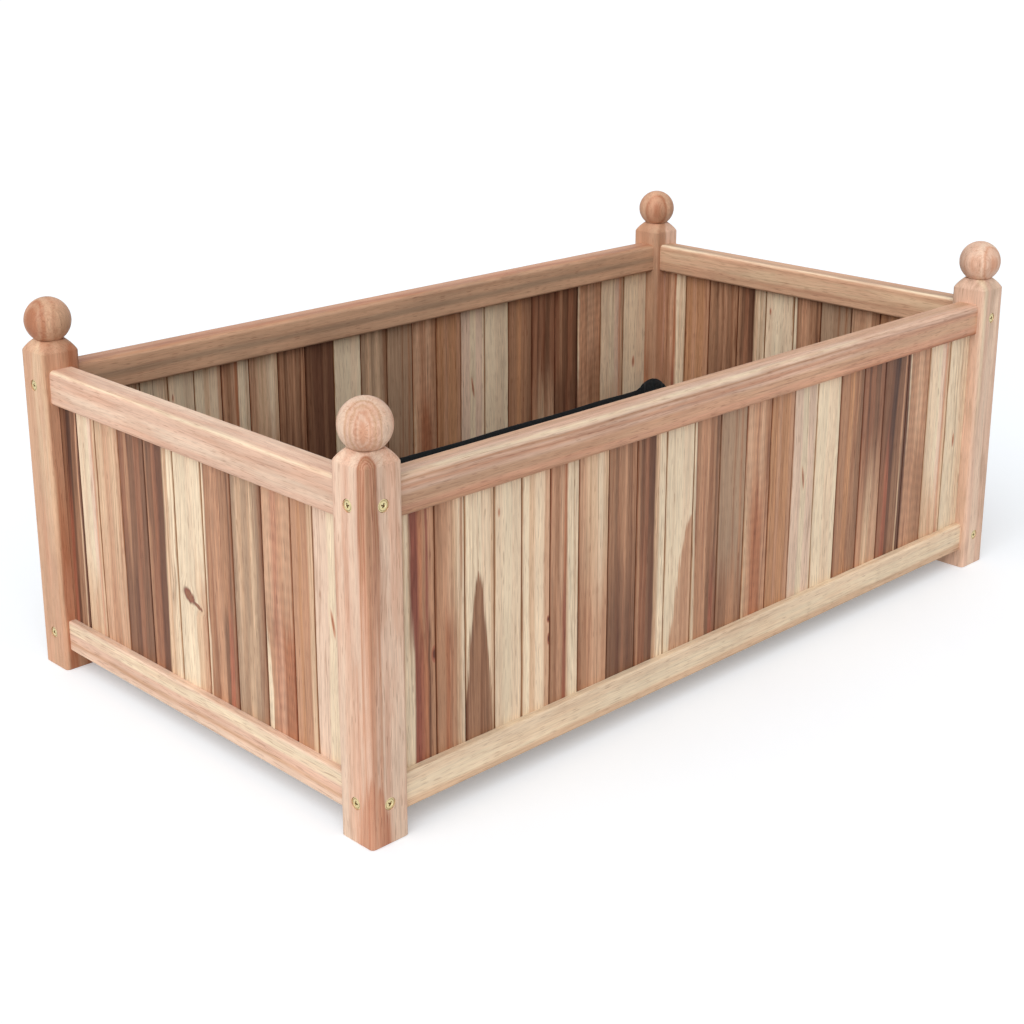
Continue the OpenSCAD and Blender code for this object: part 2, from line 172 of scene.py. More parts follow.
def filleted(corners, steps=6):
    """A closed outline through corners (x, y, radius), each corner rounded by its radius."""
    points = []
    for k, (x, y, r) in enumerate(corners):
        corner = Vector((x, y))
        if r == 0:
            points.append(corner)
            continue
        back = (Vector(corners[k - 1][:2]) - corner).normalized()
        on = (Vector(corners[(k + 1) % len(corners)][:2]) - corner).normalized()
        half = back.angle(on) / 2
        centre = corner + (back + on).normalized() * (r / math.sin(half))
        start, end = (corner + way * (r / math.tan(half)) for way in (back, on))
        points += [swung(centre, start, end, i / steps) for i in range(steps + 1)]
    return points


def skin(bm, rows):
    """Faces between neighbouring rings of vertices, all with the same count."""
    for low, high in zip(rows, rows[1:]):
        for k in range(len(low)):
            bm.faces.new((low[k - 1], low[k], high[k], high[k - 1]))


def loft(rings):
    """A closed mesh through rings of 3D points, capped at both ends."""
    bm = bmesh.new()
    rows = [[bm.verts.new(p) for p in ring] for ring in rings]
    skin(bm, rows)
    bm.faces.new(reversed(rows[0]))
    bm.faces.new(rows[-1])
    bmesh.ops.recalc_face_normals(bm, faces=bm.faces)
    return bm


def prism(outline, low, high):
    """An outline pulled up from low to high."""
    return loft([[(p[0], p[1], z) for p in outline] for z in (low, high)])


def lathe(profile, segments):
    """A closed mesh turned about Z from a profile (radius, z) that starts and ends on the axis."""
    bm = bmesh.new()
    ends = [bm.verts.new((0, 0, profile[0][1])), bm.verts.new((0, 0, profile[-1][1]))]
    turns = [math.tau * k / segments for k in range(segments)]
    rows = [
        [bm.verts.new((r * math.cos(a), r * math.sin(a), z)) for a in turns]
        for r, z in profile[1:-1]
    ]
    skin(bm, rows)
    for end, row in zip(ends, (rows[0], rows[-1])):
        for k in range(segments):
            bm.faces.new((end, row[k - 1], row[k]))
    bmesh.ops.recalc_face_normals(bm, faces=bm.faces)
    return bm


def rod(r, low, high):
    """A round rod about Z, for cutting a hole."""
    return lathe([(0, low), (r, low), (r, high), (0, high)], 32)


def turned(bm, angle, axis, place=(0, 0, 0)):
    """The mesh turned by an angle in degrees and then moved to a place."""
    bm.transform(Matrix.Rotation(math.radians(angle), 4, axis))
    bm.transform(Matrix.Translation(place))
    return bm


def as_mesh(bm, name):
    mesh = bpy.data.meshes.new(name)
    bm.to_mesh(mesh)
    bm.free()
    return mesh


def put(name, data):
    """A new object in the scene."""
    o = bpy.data.objects.new(name, data)
    bpy.context.scene.collection.objects.link(o)
    return o


def carve(mesh, cutters, operation="DIFFERENCE"):
    """The mesh after each of the cutters is taken off it or joined to it."""
    body = put("carved", mesh)
    helpers = [put("cutter", as_mesh(c, "cutter")) for c in cutters]
    for helper in helpers:
        step = body.modifiers.new("carve", "BOOLEAN")
        step.operation = operation
        step.solver = "EXACT"
        step.object = helper
    graph = bpy.context.evaluated_depsgraph_get()
    carved = bpy.data.meshes.new_from_object(body.evaluated_get(graph))
    for o in (body, *helpers):
        data = o.data
        bpy.data.objects.remove(o)
        bpy.data.meshes.remove(data)
    return carved


def mark_grain(mesh, place):
    """Stores where each point lies: its share across, its depth in metres and its share along."""
    marks = mesh.attributes.new("grain", "FLOAT_VECTOR", "POINT")
    for vertex, mark in zip(mesh.vertices, marks.data):
        mark.vector = place(vertex.co)


def inward(place, axis):
    """A unit step into the bed from a place at its edge, along X (axis 0) or Y (axis 1)."""
    way = Vector((0, 0, 0))
    way[axis] = -math.copysign(1, place[axis])
    return way


def piece(name, mesh, material, replaced, matrix, seed):
    """A visible piece that stands for a CAD node and rides with the bed."""
    o = put(name, mesh)
    o.matrix_world = matrix
    o.pass_index = seed
    if not mesh.materials:
        mesh.materials.append(material)
        mesh.shade_smooth()
        mesh.set_sharp_from_angle(angle=math.radians(CREASE))
    even = o.modifiers.new("even_normals", "WEIGHTED_NORMAL")
    even.keep_sharp = True
    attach(o, "root")
    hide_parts(replaced)


def islands(node):
    """The points of each separate solid in a CAD node."""
    bm = bmesh.new()
    bm.from_mesh(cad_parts[node].data)
    bmesh.ops.remove_doubles(bm, verts=bm.verts, dist=WELD)
    waiting, found = set(bm.verts), []
    while waiting:
        edge, points = [waiting.pop()], []
        while edge:
            vertex = edge.pop()
            points.append(vertex.co.copy())
            near = {e.other_vert(vertex) for e in vertex.link_edges} & waiting
            waiting -= near
            edge += near
        found.append(points)
    bm.free()
    return found


def span(points, axis):
    """Lowest and highest reach of points along an axis."""
    reaches = [axis.dot(p) for p in points]
    return min(reaches), max(reaches)


# Materials

PALETTE = {
    "cream": "#ecd7b9", "pale": "#ead1b3", "peach": "#e6c8b0", "sand": "#dbb998",
    "rosy": "#dfbaa2", "blush": "#cea485", "salmon": "#d29f82", "tan": "#c19273",
    "ochre": "#bf8d68", "brown": "#ae8163", "copper": "#b27757", "red_brown": "#a3654d",
    "mauve": "#8c5040", "heart": "#98694f", "walnut": "#835d46", "dark": "#6f4a37",
    "black_brown": "#553a2e", "grey": "#ae8f75", "dusk": "#9b7257", "streak": "#bd957c",
    # The joint colour is the painted shade in the gaps between boards.
    "mark": "#9a6d50", "joint": "#a87c54", "knot": "#64382a", "felt": "#17191b",
    # The dark brass colour is the painted shade in a screw head's recess and groove.
    "felt_light": "#2a2e30", "brass": "#e0cf9f", "brass_shade_and_scratch": "#6b5234", "zinc": "#b9bdc0",
}


def colour(name):
    """A palette colour as scene linear red, green, blue and alpha."""
    digits = PALETTE[name]
    shares = [int(digits[k:k + 2], 16) / 255 for k in (1, 3, 5)]
    return (*Color(shares).from_srgb_to_scene_linear(), 1)


class Value:
    """A number in a material. Arithmetic on it adds nodes."""

    def __init__(self, tree, socket):
        self.tree = tree
        self.socket = socket

    def math(self, operation, *others):
        node = self.tree.add("Math", enumerate([self, *others]), operation=operation)
        return Value(self.tree, node.outputs[0])

    def __add__(self, other):
        return self.math("ADD", other)

    def __sub__(self, other):
        return self.math("SUBTRACT", other)

    def __mul__(self, other):
        return self.math("MULTIPLY", other)

    def step(self, low, high):
        """0 at low and 1 at high, smooth between them."""
        inputs = {"Value": self, "From Min": low, "From Max": high}
        node = self.tree.add("MapRange", inputs, interpolation_type="SMOOTHSTEP")
        return Value(self.tree, node.outputs["Result"])

    def hypot(self, other):
        return (self * self + other * other).math("SQRT")


class Tree:
    """The nodes of a material or a world, built by short calls."""

    def __init__(self, owner, shader="Principled BSDF"):
        owner.use_nodes = True
        self.owner = owner
        self.tree = owner.node_tree
        self.shader = self.tree.nodes[shader]

    def add(self, kind, inputs=(), **settings):
        node = self.tree.nodes.new("ShaderNode" + kind)
        for key, value in settings.items():
            setattr(node, key, value)
        self.fill(node, dict(inputs))
        return node

    def fill(self, node, inputs):
        """Sets a node's inputs to plain values or links them to other nodes."""
        for key, value in inputs.items():
            if isinstance(value, Value):
                value = value.socket
            if isinstance(value, bpy.types.NodeSocket):
                self.tree.links.new(value, node.inputs[key])
            else:
                node.inputs[key].default_value = value

    def split(self, vector):
        return [Value(self, s) for s in self.add("SeparateXYZ", {0: vector}).outputs]

    def join(self, *values):
        return self.add("CombineXYZ", enumerate(values)).outputs[0]

    def point(self, grain="Z"):
        """The place in the piece in metres, turned so that the grain runs along Z."""
        place = self.add("TexCoord").outputs["Object"]
        if grain == "Z":
            return place
        x, y, z = self.split(place)
        return self.join(*{"X": (y, z, x), "Y": (x, z, y)}[grain])

    def seed(self):
        """A shift of the noise that differs from piece to piece."""
        index = self.add("ObjectInfo").outputs["Object Index"]
        return self.scale((17.31, 5.17, 9.73), index)

    def noise(self, point, scale, seed, detail):
        scaled = self.add("VectorMath", {0: point, 1: scale, 2: seed}, operation="MULTIPLY_ADD")
        inputs = {"Vector": scaled.outputs[0], "Scale": 1.0, "Detail": detail, "Roughness": 0.55}
        return Value(self, self.add("TexNoise", inputs).outputs[0])

    def bands(self, factor, text, soft):
        """Colours side by side. "cream 30, brown" is cream up to 30% and then brown."""
        node = self.add("ValToRGB", {"Fac": factor})
        stops = node.color_ramp.elements
        stops.remove(stops[1])
        start = 0.0
        for k, band in enumerate(text.split(", ")):
            name, end = f"{band} 100".split()[:2]
            end = int(end) / 100
            soften = min(soft, (end - start) / 2.1)
            first = stops[0] if k == 0 else stops.new(start + soften)
            last = stops.new(end - soften)
            first.color = last.color = colour(name)
            start = end
        return node.outputs["Color"]

    def mix(self, share, first, second, blend="MIX"):
        inputs = {0: share, 6: first, 7: second}
        node = self.add("Mix", inputs, data_type="RGBA", blend_type=blend)
        return node.outputs[2]

    def scale(self, vector, share):
        return self.add("VectorMath", {0: vector, "Scale": share}, operation="SCALE").outputs[0]

    def bump(self, height, strength, distance):
        inputs = {"Height": height, "Strength": strength, "Distance": distance}
        self.fill(self.shader, {"Normal": self.add("Bump", inputs).outputs[0]})


def along_ribbon(t, point):
    """Across, through and along from the marks that a piece carries."""
    return t.split(t.add("Attribute", attribute_name="grain").outputs["Vector"])


def round_pith(pith_x, pith_y, reach, length):
    """Across and along measured from the heart of the tree, which runs along Z."""
    def place(t, point):
        x, y, z = t.split(point)
        from_x, from_y = x - pith_x, y - pith_y
        across = from_x.hypot(from_y) * (1 / reach)
        return across, from_y.math("ARCTAN2", from_x) * reach, z * (1 / length)
    return place


PLAIN_TIMBER = dict(
    foot=None,      # bands at the foot of the piece, where they differ from those at its top
    turn=0.5,       # height at which the foot's bands give way to the top's
    spread=0.3,     # length over which they do
    soft=0.03,      # softness of the bands' edges
    slant=0.0,      # how far the bands lean over the whole length
    wobble=0.25,    # how far they wander
    fray=0.1,       # how ragged their edges are
    stripes=0.5,    # strength of the dark streaks
    reach=2.3,      # how often the streaks change along a metre
    tint="streak",  # colour that the streaks are multiplied by
    broad=0.5,      # strength of the slow changes of tone
    mottle=0.35,    # strength of the blotches
    fibres=0.7,     # contrast of the fibres
    lines=0.3,      # strength of the thin dark growth lines
    flecks=0.5,     # strength of the short dark dashes
    cloud=None,     # (colour, strength) of soft patches
    ripple=0.0,     # strength of the figure across the grain
    flame=None,     # (centre, apex, half width at the foot, colour, colour of its veins)
    knots=(),       # (across, along, half width, half height, lean, bands from its middle)
    # edges below is painted shade: how dark a board's face gets next to a joint, where the gap
    # between boards is in shade.
    edges=0.0,      # how dark the edges at a joint are
)
HAND = 0.05  # width that a piece's bands are drawn for, where its marks don't say

# The figure's noises: how often each changes in a metre across and along the grain, and its
# detail. How often the streaks change along it is their wood's reach.
LAYERS = dict(
    wander=(13, 3.2, 2.5), fray=(180, 9, 3.0), mottle=(48, 10, 2.0), fibre=(420, 11, 3.0),
    thread=(1400, 40, 1.0), cloud=(42, 8, 5.0), pores=(1500, 55, 0.0), lines=(95, 1.3, 1.0),
    flecks=(330, 34, 1.0), broad=(24, 1.4, 2.0), ripple=(60, 12, 2.0))


def timber(name, recipe, place=along_ribbon, unit=HAND, grain="Z"):
    """Oiled wood: colour bands that wander along the grain, streaks, fibres, pores and knots."""
    r = {**PLAIN_TIMBER, **recipe}
    t = Tree(bpy.data.materials.new(name))
    point, seed = t.point(grain), t.seed()
    layers = {**LAYERS, "streak": (150, r["reach"], 4.0)}

    def noise(layer, at=point):
        """One layer, from about -0.5 to 0.5."""
        across, along, detail = layers[layer]
        return t.noise(at, (across, across, along), seed, detail) - 0.5

    across, through, along = place(t, point)
    wander, fray, mottle = noise("wander"), noise("fray"), noise("mottle")
    level = across + (along - 0.5) * r["slant"] + wander * r["wobble"] + fray * r["fray"]
    knots = []
    for middle, height, half_w, half_h, lean, rings in r["knots"]:
        aside = across - middle
        distance = (aside * (1 / half_w)).hypot((along - height + aside * lean) * (1 / half_h))
        level = level - aside * (distance.step(3.2, 0.6) * 0.5)
        knots.append((distance, rings))
    flow = t.join(level * unit, through, t.split(point)[2])
    streak, fibre, thread = noise("streak", flow), noise("fibre", flow), noise("thread", flow)

    tone = t.bands(level, r["top"], r["soft"])
    if r["foot"]:
        rise = along + wander * 0.5 + fray * 0.4
        change = rise.step(r["turn"] - r["spread"] / 2, r["turn"] + r["spread"] / 2)
        tone = t.mix(change, t.bands(level, r["foot"], r["soft"]), tone)
    if r["flame"]:
        centre, apex, half, dark, vein = r["flame"]
        below = (along * -1 + apex + mottle * 0.25).math("MAXIMUM", 0.0) * (1 / apex)
        edge = below.math("POWER", 0.6) * half - (level - centre).math("ABSOLUTE")
        inside = (edge + fray * 0.15 + fibre * 0.3).step(-0.02, 0.07)
        veins = streak.step(-0.1, 0.1) * (r["stripes"] + 0.2)
        tone = t.mix(inside, tone, t.mix(veins, colour(dark), colour(vein), "MULTIPLY"))
    if r["cloud"]:
        patch, strength = r["cloud"]
        tone = t.mix(noise("cloud").step(-0.04, 0.12) * strength, tone, colour(patch))
    for distance, rings in knots:
        tone = t.mix((distance + fray).step(1.5, 0.8), tone, t.bands(distance * 0.5, rings, 0.1))
    tone = t.mix(streak.step(-0.04, 0.2) * r["stripes"], tone, colour(r["tint"]), "MULTIPLY")

    pores = noise("pores", flow).step(0.12, 0.24)
    lines = noise("lines", flow).math("ABSOLUTE").step(0.022, 0.004)
    flecks = noise("flecks", flow).step(0.24, 0.34) * mottle.step(-0.02, 0.12)
    marks = lines * r["lines"] + flecks * r["flecks"] + pores * 0.35
    tone = t.mix(marks, tone, colour("mark"), "MULTIPLY")
    # Painted shade in the joints between boards: the face darkened near each joint, and the sides
    # of the gap darkened towards the joint colour where the gap is in shade.
    if r["edges"]:
        inner = (across - 0.5).math("ABSOLUTE") + fray * 0.12
        side = (through * (1 / BOARD_T) - 0.5).math("ABSOLUTE")
        joint = (inner.step(0.455, 0.5) * r["edges"]).math("MAXIMUM", side.step(0.48, 0.42))
        tone = t.mix(joint, tone, colour("joint"), "MULTIPLY")

    light = noise("broad") * r["broad"] + mottle * r["mottle"]
    light = light + (fibre + thread * 0.9) * r["fibres"] + 1.0
    if r["ripple"]:
        wave = (along * 120 + wander * 30 + (noise("ripple") + 0.5) * 9).math("SINE")
        light = light + wave * r["ripple"]
    t.fill(t.shader, {"Base Color": t.scale(tone, light), "Roughness": fibre * 0.3 + 0.55,
                      "Specular IOR Level": 0.3})
    t.bump(fibre + thread * 0.5 - pores * 0.5 - lines * 0.4, 0.35, 0.3 * MM)
    return t.owner


def plank(top, foot=None, **more):
    # Every board gets painted shade along its joints.
    return dict(top=top, foot=foot, **{"edges": 0.75, **more})


def beam(top, foot=None, **more):
    smooth = dict(wobble=0.12, fray=0.08, stripes=0.2, reach=5.0, fibres=0.35, lines=0.15,
                  flecks=0.3, soft=0.04, tint="salmon")
    return dict(top=top, foot=foot, **{**smooth, **more})


DARK_KNOT = "knot 30, red_brown 60, tan"
PALE_KNOT = "heart 35, mauve 50, dark 62, tan"
RED_FIGURE = "copper 30, salmon 60, rosy"

PLANKS = (
    plank("sand 30, cream 44, mauve 62, copper 71, brown 80, mauve 84, tan 94, brown",
          "sand 30, cream 50, mauve 64, red_brown 73, copper 84, dark 88, brown", wobble=0.1,
          knots=((0.97, 0.42, 0.06, 0.03, 0.0, DARK_KNOT),)),
    plank("brown 24, tan 42, blush 56, sand 74, pale 86, tan 91, cream",
          "brown 34, copper 50, tan 66, brown 72, sand 86, pale", soft=0.05, turn=0.6),
    plank("cream 55, pale 88, sand", stripes=0.25, wobble=0.12, fibres=0.5,
          flame=(0.45, 0.68, 0.54, "dusk", "mark")),
    plank("pale 25, cream 60, pale", stripes=0.15, lines=0.12, fibres=0.4,
          knots=((0.16, 0.86, 0.03, 0.016, 0.0, RED_FIGURE),)),
    plank("cream 30, sand 50, pale 84, blush", stripes=0.2, lines=0.14, fibres=0.4,
          knots=((0.96, 0.38, 0.05, 0.012, 0.0, DARK_KNOT),
                 (0.97, 0.3, 0.04, 0.02, 0.0, DARK_KNOT))),
    plank("tan 18, brown 34, blush 48, copper 60, cream 90, pale",
          "brown 22, tan 44, red_brown 56, sand 64, cream 88, pale", wobble=0.15),
    plank("blush 24, sand 62, pale 86, sand", "brown 30, tan 50, blush 84, tan",
          soft=0.06, turn=0.55, spread=0.5, fibres=0.5),
    plank("brown 20, dusk 34, tan 40, brown 54, tan 62, dusk 82, brown",
          "walnut 30, dark 44, walnut 52, heart 56, walnut 68, dark 80, walnut", lines=0.5,
          wobble=0.15, turn=0.4, spread=0.7),
    plank("brown 10, walnut 26, heart 40, dark 62, sand 76, cream",
          "brown 12, heart 36, walnut 50, dark 62, sand 74, cream", wobble=0.12,
          lines=0.4),
    plank("cream 60, pale 86, cream", stripes=0.1, wobble=0.15, fibres=0.4, broad=0.2,
          lines=0.15, flame=(1.0, 0.6, 0.85, "blush", "streak")),
    plank("cream 10, heart 15, brown 27, tan 44, tan 60, brown 84, walnut 92, brown",
          "cream 10, brown 36, tan 60, walnut 74, red_brown 90, heart", turn=0.35),
    plank("grey 55, dusk 62, grey 80, brown 88, grey",
          "dusk 40, brown 70, dusk", turn=0.25, stripes=0.4, fibres=0.5),
    plank("blush 30, tan 52, blush 76, brown", "sand 14, tan 32, copper 76, tan",
          soft=0.06, turn=0.6, ripple=0.03, mottle=0.7),
    plank("ochre 30, tan 44, ochre 80, tan", soft=0.05, stripes=0.35),
    plank("peach 36, cream 60, peach 90, pale", stripes=0.15, fibres=0.4,
          knots=((0.5, 0.56, 0.06, 0.03, 0.6, RED_FIGURE),)),
    plank("cream 45, pale 82, cream", stripes=0.12, lines=0.2, fibres=0.45),
    plank("brown 35, ochre 56, brown 80, dusk"),
    plank("heart 24, dark 34, heart 60, walnut 80, heart",
          "tan 30, sand 60, blush 80, blush", turn=0.47, spread=0.6, stripes=0.6),
    plank("walnut 22, dark 36, black_brown 58, walnut 84, tan 92, dark",
          "heart 26, red_brown 44, dark 58, dusk 88, sand 94, dark", lines=0.45,
          slant=-0.12, turn=0.6),
    plank("dark 7, cream 13, tan 45, blush 72, tan", "dark 6, tan 50, brown",
          ripple=0.05, mottle=0.5, stripes=0.35),
    plank("pale 40, cream 62, peach 80, salmon 90, sand",
          "sand 40, blush 58, sand 80, salmon 92, sand", turn=0.3, stripes=0.2, fibres=0.5),
    plank("cream 60, pale 80, cream", stripes=0.1, broad=0.3, fibres=0.45,
          knots=((0.45, 0.47, 0.045, 0.03, 0.0, RED_FIGURE),)),
    plank("cream 40, pale 60, cream", "cream 62, sand 84, blush", stripes=0.1,
          lines=0.12, wobble=0.4, fibres=0.45, broad=0.15,
          knots=((0.36, 0.4, 0.18, 0.024, 0.065, PALE_KNOT),
                 (0.68, 0.372, 0.13, 0.009, 0.06, PALE_KNOT))),
    plank("grey 20, sand 34, grey 56, sand 70, grey 90, dusk",
          "grey 40, sand 52, grey 84, dusk", soft=0.1, wobble=0.1, turn=0.3, spread=0.6,
          stripes=0.3, broad=0.3),
    plank("heart 20, brown 34, walnut 60, heart 84, walnut",
          "walnut 40, dark 52, heart 70, walnut", lines=0.4, wobble=0.15),
    plank("blush 30, salmon 52, tan 70, blush", "tan 30, salmon 60, copper",
          soft=0.06, ripple=0.04, mottle=0.6, flame=(0.02, 0.55, 0.2, "cream", "streak")),
    plank("tan 30, ochre 44, tan 80, sand", soft=0.05, stripes=0.35),
    plank("walnut 24, dark 60, walnut 76, dark", wobble=0.15),
    plank("sand 30, blush 60, sand 84, blush", "blush 36, tan 60, blush", soft=0.06,
          turn=0.4, spread=0.5, stripes=0.3),
    plank("brown 8, walnut 26, heart 40, dark 63, sand 78, cream",
          "brown 12, heart 36, dark 60, sand 75, cream", wobble=0.12, lines=0.4),
)
# Which plank each board of a wall is cut from, from left to right as the camera sees it.
WALL_PLANKS = {
    "front": range(1, 23),
    "rear": (*range(1, 9), 28, 10, 24, *range(12, 19), 25, 20, 21, 22),
    "left": (19, 21, 29, 25, 30, 23, 11, 24, 26, 27, 15),
    "right": (6, 14, 8, 9, 4, *range(11, 17)),
}

# A rail's bands go up its seen face to 78, round the upper arris at 80 and back over the top. On
# the top rails the cream band at about 80 is a painted highlight along the upper arris.
RAIL_WOODS = {
    "top_front": beam(
        "copper 10, salmon 26, blush 50, salmon 62, rosy 84, blush",
        # cream 81 is a painted highlight on the upper arris
        "tan 8, salmon 20, blush 40, rosy 50, salmon 56, rosy 64, tan 67, peach 74, cream 81, "
        "rosy 88, blush", cloud=("salmon", 0.4), lines=0.25, turn=0.7),
    "top_rear": beam(
        "blush 30, grey 44, blush 76, tan 80, copper 88, salmon 96, tan", cloud=("grey", 0.3),
        stripes=0.15),
    # cream 79 is a painted highlight on the upper arris
    "top_left": beam("rosy 20, peach 45, rosy 75, cream 79, rosy 90, peach",
                     cloud=("salmon", 0.35)),
    # cream 81 is a painted highlight on the upper arris
    "top_right": beam("blush 30, sand 60, blush 76, cream 81, grey 88, blush",
                      cloud=("salmon", 0.35)),
    "bottom_front": beam(
        "tan 16, sand 34, blush 60, sand 74, brown 80, tan 86, sand",
        "sand 20, cream 55, pale 78, cream", stripes=0.12, flecks=0.15, cloud=("sand", 0.4),
        turn=0.93, spread=0.1),
    "bottom_rear": beam("sand 30, blush 52, sand 80, pale"),
    "bottom_left": beam("peach 20, blush 30, rosy 48, cream 74, peach", cloud=("rosy", 0.4)),
    "bottom_right": beam("blush 30, tan 50, blush"),
}


def pithy_wood(name, length, pith, top, foot=None, **more):
    """Wood with rings round a heart at pith, which is in millimetres from the piece's axis."""
    recipe = beam(top, foot, **{"spread": 0.5, "stripes": 0.3, "cloud": ("salmon", 0.4),
                                "soft": 0.03, **more})
    x, y = (place * MM for place in pith)
    return timber(name, recipe, round_pith(x, y, PITH_REACH, length), PITH_REACH)


EVEN = (0, 0, 0)  # shift of the noise in a material that all its pieces share


def brass():
    """Bright yellow metal, faintly scratched, with painted shade in the recess and the groove of a
    head.
    """
    t = Tree(bpy.data.materials.new("brass"))
    point = t.point()
    scratch = t.noise(point, (900, 900, 900), EVEN, 3.0)
    x, y, z = t.split(point)
    radius = x.hypot(y)
    # Painted shade: the brass is darkened deep in the cross recess and in the ring groove round the
    # crown, where shade falls. The scratches also vary it a little.
    recess = z.step(0.6 * MM, 1.1 * MM) * radius.step(HEAD_GROOVE_R, HEAD_GROOVE_R - 0.3 * MM)
    groove = (radius - HEAD_GROOVE_R).math("ABSOLUTE").step(HEAD_GROOVE_W, HEAD_GROOVE_W / 2)
    shade_and_scratches = recess.math("MAXIMUM", groove * 0.45) + (scratch - 0.5) * 0.3
    t.fill(t.shader, {"Base Color": t.mix(shade_and_scratches, colour("brass"), colour("brass_shade_and_scratch")),
                      "Metallic": 1.0, "Roughness": scratch * 0.3 + 0.2})
    t.bump(scratch, 0.2, 0.1 * MM)
    return t.owner


def zinc():
    """Plated steel of the hidden screws and the staples."""
    t = Tree(bpy.data.materials.new("zinc"))
    cloud = t.noise(t.point(), (400, 400, 400), EVEN, 2.0)
    t.fill(t.shader, {"Base Color": t.scale(colour("zinc")[:3], cloud * 0.3 + 0.8),
                      "Metallic": 1.0, "Roughness": cloud * 0.3 + 0.3})
    return t.owner


def felt():
    """Black non-woven cloth with short matted fibres."""
    t = Tree(bpy.data.materials.new("felt"))
    point = t.point()
    hairs = t.noise(point, (2600, 2600, 2600), EVEN, 3.0)
    clumps = t.noise(point, (220, 220, 220), (3, 1, 2), 3.0)
    shade = clumps.step(0.35, 0.75) * 0.5 + hairs.step(0.4, 0.75) * 0.4
    t.fill(t.shader, {"Base Color": t.mix(shade, colour("felt"), colour("felt_light")),
                      "Roughness": 0.95, "Specular IOR Level": 0.2, "Sheen Weight": 0.08})
    t.bump(hairs * 0.6 + clumps, 0.6, 0.5 * MM)
    return t.owner


# Boards

class Wall:
    """How a wall lies: which way it runs from left to right as the camera sees it."""

    def __init__(self, name):
        self.name = name
        self.seen_outside = name in ("front", "left")
        ways = ((0, -1, 0), (1, 0, 0)) if name in ("left", "right") else ((1, 0, 0), (0, 1, 0))
        self.run, self.away = (Vector(way) for way in ways)
        posts = [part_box("post_" + p) for p in POSTS if name in p]
        first, second = sorted(posts, key=lambda box: self.run.dot(box[0] + box[1]))
        self.start = span(first, self.run)[1]
        self.end = span(second, self.run)[0]

    def matrix(self, run, up, face, upright):
        """Where a piece stands whose own corner is so far along the wall, up and away."""
        columns = (self.run, self.away, UP) if upright else (self.away, UP, self.run)
        turn = Matrix(columns).transposed().to_4x4()
        return Matrix.Translation(self.run * run + self.away * face + UP * up) @ turn


def board_outline(width, depth, tongue, hollow):
    """A board from above, its tongue on the right and its hollow on the left."""
    middle, r, ease = depth / 2, BOARD_ROUND, TONGUE_ROUND
    corners = [(0, 0, r), (width, 0, r)]
    if tongue:
        low, high, tip = middle - TONGUE_T / 2, middle + TONGUE_T / 2, width + TONGUE_OUT
        corners += [(width, low, 0), (tip, low, ease), (tip, high, ease), (width, high, 0)]
    corners += [(width, depth, r), (0, depth, r)]
    if hollow:
        low, high = middle - HOLLOW_T / 2, middle + HOLLOW_T / 2
        corners += [(0, high, 0), (HOLLOW_IN, high, 0), (HOLLOW_IN, low, 0), (0, low, 0)]
    return filleted(corners, 3)


def wall_boards(wall, woods):
    node = "boards_" + wall.name
    low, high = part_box(node)
    face, back = span((low, high), wall.away)
    height = high.z - low.z
    spans = []
    for points in islands(node):
        left, right = span([p for p in points if wall.away.dot(p) < face + ON_FACE], wall.run)
        spans.append((left - BOARD_BEVEL, right + BOARD_BEVEL))
    spans.sort()
    for k, (left, right) in enumerate(spans):
        width = right - left
        inner_left, inner_right = k > 0, k < len(spans) - 1
        if wall.seen_outside:
            outline = board_outline(width, back - face, inner_right, inner_left)
        else:
            from_behind = board_outline(width, back - face, inner_left, inner_right)
            outline = [(width - p[0], p[1]) for p in reversed(from_behind)]
        mesh = as_mesh(prism(outline, 0, height), "board")
        mark_grain(mesh, lambda p: (p.x / width, p.y, p.z / height))
        piece(f"board_{wall.name}_{k + 1:02d}", mesh, woods[WALL_PLANKS[wall.name][k] - 1],
              node, wall.matrix(left, low.z, face, True),
              k + WALL_SEEDS * WALLS.index(wall.name))


# Rails

def rail_outline(depth, height, groove, over, grooved_top):
    """A rail's section: depth from the seen face, and height. Its groove is in one edge."""
    low, high = groove
    edge, floor = (height, height - GROOVE_DEEP) if grooved_top else (0, GROOVE_DEEP)
    notch = [(low, edge, 0), (low, floor, 0), (high, floor, 0), (high, edge, 0)]
    bottom = [(0, 0, RAIL_UNDER_ROUND), (depth, 0, RAIL_UNDER_ROUND)]
    top = [(depth, height, over), (0, height, over)]
    if grooved_top:
        return filleted([*bottom, top[0], *reversed(notch), top[1]])
    return filleted([bottom[0], *notch, bottom[1], *top])


def tenon(near, tip, shoulder, low, high, outside_low):
    """A mitred tenon in the rail's own frame, longest on the side towards the outside."""
    far = near + TENON_T
    long_side, short_side = (near, far) if outside_low else (far, near)
    drawn = tip + math.copysign(TENON_T, shoulder - tip)
    outline = [(shoulder, long_side), (tip, long_side), (drawn, short_side), (shoulder, short_side)]
    return loft([[(side, height, run) for run, side in outline] for height in (low, high)])


def tenon_margins(level):
    """What a tenon leaves of its rail's height below it and above it."""
    shelf = GROOVE_DEEP + TENON_WEB
    return (shelf, TENON_SHOULDER) if level == "top" else (TENON_SHOULDER, shelf)


